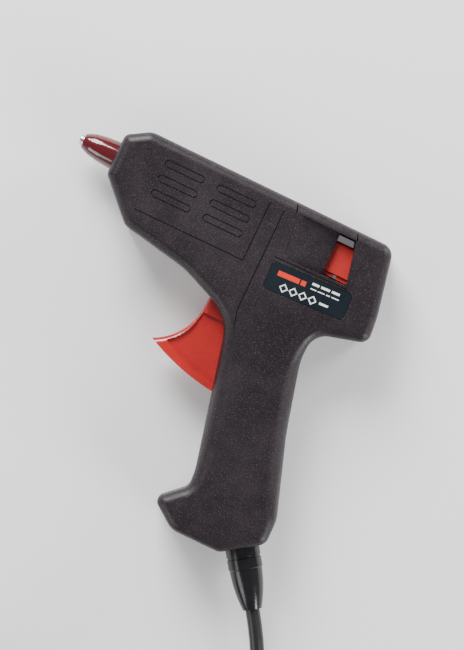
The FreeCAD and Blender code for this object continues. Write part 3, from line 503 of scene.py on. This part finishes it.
def deepenPanel(data):
    # distance from the seam's height: the panel floor's own becomes the shown one, all others stay
    points = np.empty(len(data.vertices) * 3)
    data.vertices.foreach_get("co", points)
    points = points.reshape(-1, 3)
    away = points[:, 2] - seam["height"] * mm
    sunk = np.abs(np.abs(away) - triggerPanel["modelled"] * mm) < 0.02 * mm
    shown = seam["height"] * mm + np.sign(away) * triggerPanel["shown"] * mm
    points[:, 2] = np.where(sunk, shown, points[:, 2])
    data.vertices.foreach_set("co", points.ravel())


def addRounding(piece, radius, chosenBy):
    rounding = piece.modifiers.new("rounding", "BEVEL")
    rounding.width = radius * mm
    rounding.segments = softEdge["segments"]
    rounding.limit_method = chosenBy
    rounding.use_clamp_overlap = False
    return rounding


def soften(node, body, slotName, radius):
    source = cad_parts[node]
    shape = bmesh.new()
    shape.from_mesh(source.data)
    shape.transform(source.matrix_world)
    bmesh.ops.remove_doubles(shape, verts=shape.verts, dist=softEdge["weld"] * mm)
    flat = math.radians(softEdge["flatAngle"])
    bmesh.ops.dissolve_limit(shape, angle_limit=flat, verts=shape.verts, edges=shape.edges)
    words = node.split("_")
    name = words[0] + "".join(w.capitalize() for w in words[1:]) + "Skin"
    data = bpy.data.meshes.new(name)
    shape.to_mesh(data)
    shape.free()
    if node == "trigger":
        deepenPanel(data)
    if "custom_normal" in data.attributes:
        data.attributes.remove(data.attributes["custom_normal"])
    data.polygons.foreach_set("use_smooth", np.ones(len(data.polygons), dtype=bool))
    data.materials.clear()
    data.materials.append(materials[nodeFinish[node]])
    piece = bpy.data.objects.new(name, data)
    scene.collection.objects.link(piece)
    edgeAngle = math.radians(softEdge["edgeAngle"])
    if radius in (None, "seam"):
        data.set_sharp_from_angle(angle=edgeAngle)
    if radius == "seam":
        markSeam(data)
        addRounding(piece, seam["radius"], "WEIGHT")
    elif radius:
        addRounding(piece, radius, "ANGLE").angle_limit = edgeAngle
    shading = piece.modifiers.new("shading", "WEIGHTED_NORMAL")
    shading.weight = 50
    shading.keep_sharp = True
    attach(piece, body)
    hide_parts(node)
    pieces[node] = piece


# Plain marks on the label, in millimetres from its middle, along it and across it

labelPrint = {
    "middle": (37.0675, 37.4041), "turn": 2.5,   # millimetres, degrees
    "height": 25.953, "thick": 0.02,
    "redBars": [(-13.0, -4.2, 0.9, 2.9), (-3.6, -1.6, 0.9, 2.9)],   # from, to, low, high
    "whiteBars": [
        (0.6, 3.4, 2.7, 3.6), (4.2, 7.8, 2.7, 3.6), (8.6, 11.8, 2.7, 3.6),
        (0.6, 3.0, 1.0, 1.4), (3.6, 6.4, 1.0, 1.4), (7.0, 8.6, 1.0, 1.4), (9.2, 12.2, 1.0, 1.4),
        (5.8, 9.4, -3.1, -2.3),
    ],
    "whiteRings": [  # middle along, middle across, radius, line width, corners, first corner's angle
        (-8.8, -2.7, 1.8, 0.62, 4, 0), (-4.9, -2.7, 1.8, 0.62, 4, 0),
        (-1.0, -2.7, 1.8, 0.62, 4, 0), (2.9, -2.7, 1.8, 0.62, 4, 0),
    ],
}


def ringMark(u, v, radius, line, corners, first):
    # corners evenly round a circle, once at the radius and once a line width inside it
    angles = np.radians(first + 360 * np.arange(corners) / corners)
    way = np.column_stack([np.cos(angles), np.sin(angles)])
    points = np.vstack([way * radius, way * (radius - line)]) + (u, v)
    i = np.arange(corners)
    j = (i + 1) % corners
    return points, np.column_stack([i, j, j + corners, i + corners])


def barMark(u0, u1, v0, v1):
    return np.array([(u0, v0), (u1, v0), (u1, v1), (u0, v1)]), np.array([(0, 1, 2, 3)])


def printMarks(name, finish, marks):
    points = []
    faces = []
    count = 0
    for corners, quads in marks:
        points.append(corners)
        faces.append(quads + count)
        count += len(corners)
    flat = np.vstack(points)
    turn = math.radians(labelPrint["turn"])
    x = labelPrint["middle"][0] + flat[:, 0] * math.cos(turn) - flat[:, 1] * math.sin(turn)
    y = labelPrint["middle"][1] + flat[:, 0] * math.sin(turn) + flat[:, 1] * math.cos(turn)
    z = np.full(len(flat), labelPrint["height"])
    data = bpy.data.meshes.new(name)
    data.from_pydata((np.column_stack([x, y, z]) * mm).tolist(), [], np.vstack(faces).tolist())
    data.materials.append(materials[finish])
    piece = bpy.data.objects.new(name, data)
    scene.collection.objects.link(piece)
    ink = piece.modifiers.new("ink", "SOLIDIFY")
    ink.thickness = labelPrint["thick"] * mm
    ink.offset = 1
    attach(piece, "housing")


def makeLabelPrint():
    printMarks("labelMarksRed", "labelRed", [barMark(*bar) for bar in labelPrint["redBars"]])
    white = [barMark(*bar) for bar in labelPrint["whiteBars"]]
    white += [ringMark(*mark) for mark in labelPrint["whiteRings"]]
    printMarks("labelMarksWhite", "labelWhite", white)


# The mains cord: one open spline out of the boot, down to the floor, round the coil and on to the plug

cord = {
    "diameter": 5.5 * mm,
    "length": 0.898,
    "out": [
        (0.07048, -0.08104, 0.01300), (0.08076, -0.09582, 0.01300),
        (0.09267, -0.12610, 0.00275),
    ],
    "coilCentre": (0.07327, -0.16180),
    "coilRadii": (0.0248, 0.0303),     # inner and outer turn
    "coilHeights": (0.00275, 0.00825),  # bottom and top layer
    "coilStart": 25.5,                 # degrees, where the cord comes in; the turns go clockwise
    "pointsPerTurn": 16,
    "on": [
        (0.10677, -0.16770, 0.00605), (0.09907, -0.18860, 0.00275),
        (0.08027, -0.19960, 0.00275), (0.05797, -0.19700, 0.00275),
        (0.04207, -0.18330, 0.00275), (0.01997, -0.17910, 0.00685),
    ],
}


def coilPoints():
    # turns: bottom outer, bottom inner, top inner, top outer; each change of turn is eased over 50 degrees
    inner, outer = cord["coilRadii"]
    bottom, top = cord["coilHeights"]
    step = 360 / cord["pointsPerTurn"]
    swept = np.arange(0, 1441 - step / 2, step)

    def ease(start, end):
        t = np.clip((swept - start) / (end - start), 0, 1)
        return t * t * (3 - 2 * t)

    radius = outer + (inner - outer) * (ease(355, 410) - ease(1035, 1085))
    radius = radius / math.cos(math.radians(step / 2))  # the spline runs inside its points
    height = bottom + (top - bottom) * ease(690, 745)
    angle = np.radians(cord["coilStart"] - swept)
    x = cord["coilCentre"][0] + radius * np.cos(angle)
    y = cord["coilCentre"][1] + radius * np.sin(angle)
    return np.column_stack([x, y, height]).tolist()


def makeCord():
    points = cord["out"] + coilPoints() + cord["on"]
    data = bpy.data.curves.new("mainsCord", "CURVE")
    data.dimensions = "3D"
    spline = data.splines.new("NURBS")
    spline.points.add(len(points) - 1)
    spline.points.foreach_set("co", [v for p in points for v in (*p, 1.0)])
    spline.order_u = 3
    spline.use_endpoint_u = True
    spline.resolution_u = 6
    data.bevel_depth = cord["diameter"] / 2
    data.bevel_resolution = 5
    data.use_fill_caps = True
    data.materials.append(materials["cordPvc"])
    piece = bpy.data.objects.new("mainsCord", data)
    scene.collection.objects.link(piece)
    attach(piece, "housing")
    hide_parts("power_cord", "cord_coil", "cord_tail")
    carried = [pieces[n] for n in ("plug_body", "plug_pins", "plug_fuse_carrier", "strain_relief")]
    carried.append(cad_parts["inner_lead"])
    print("cord made:", len(points), "points")


addCamera()
for nodeName, settings in softened.items():
    soften(nodeName, *settings)
print("pieces softened:", len(pieces))
makeLabelPrint()
makeCord()
addStudio()
dressNodes()
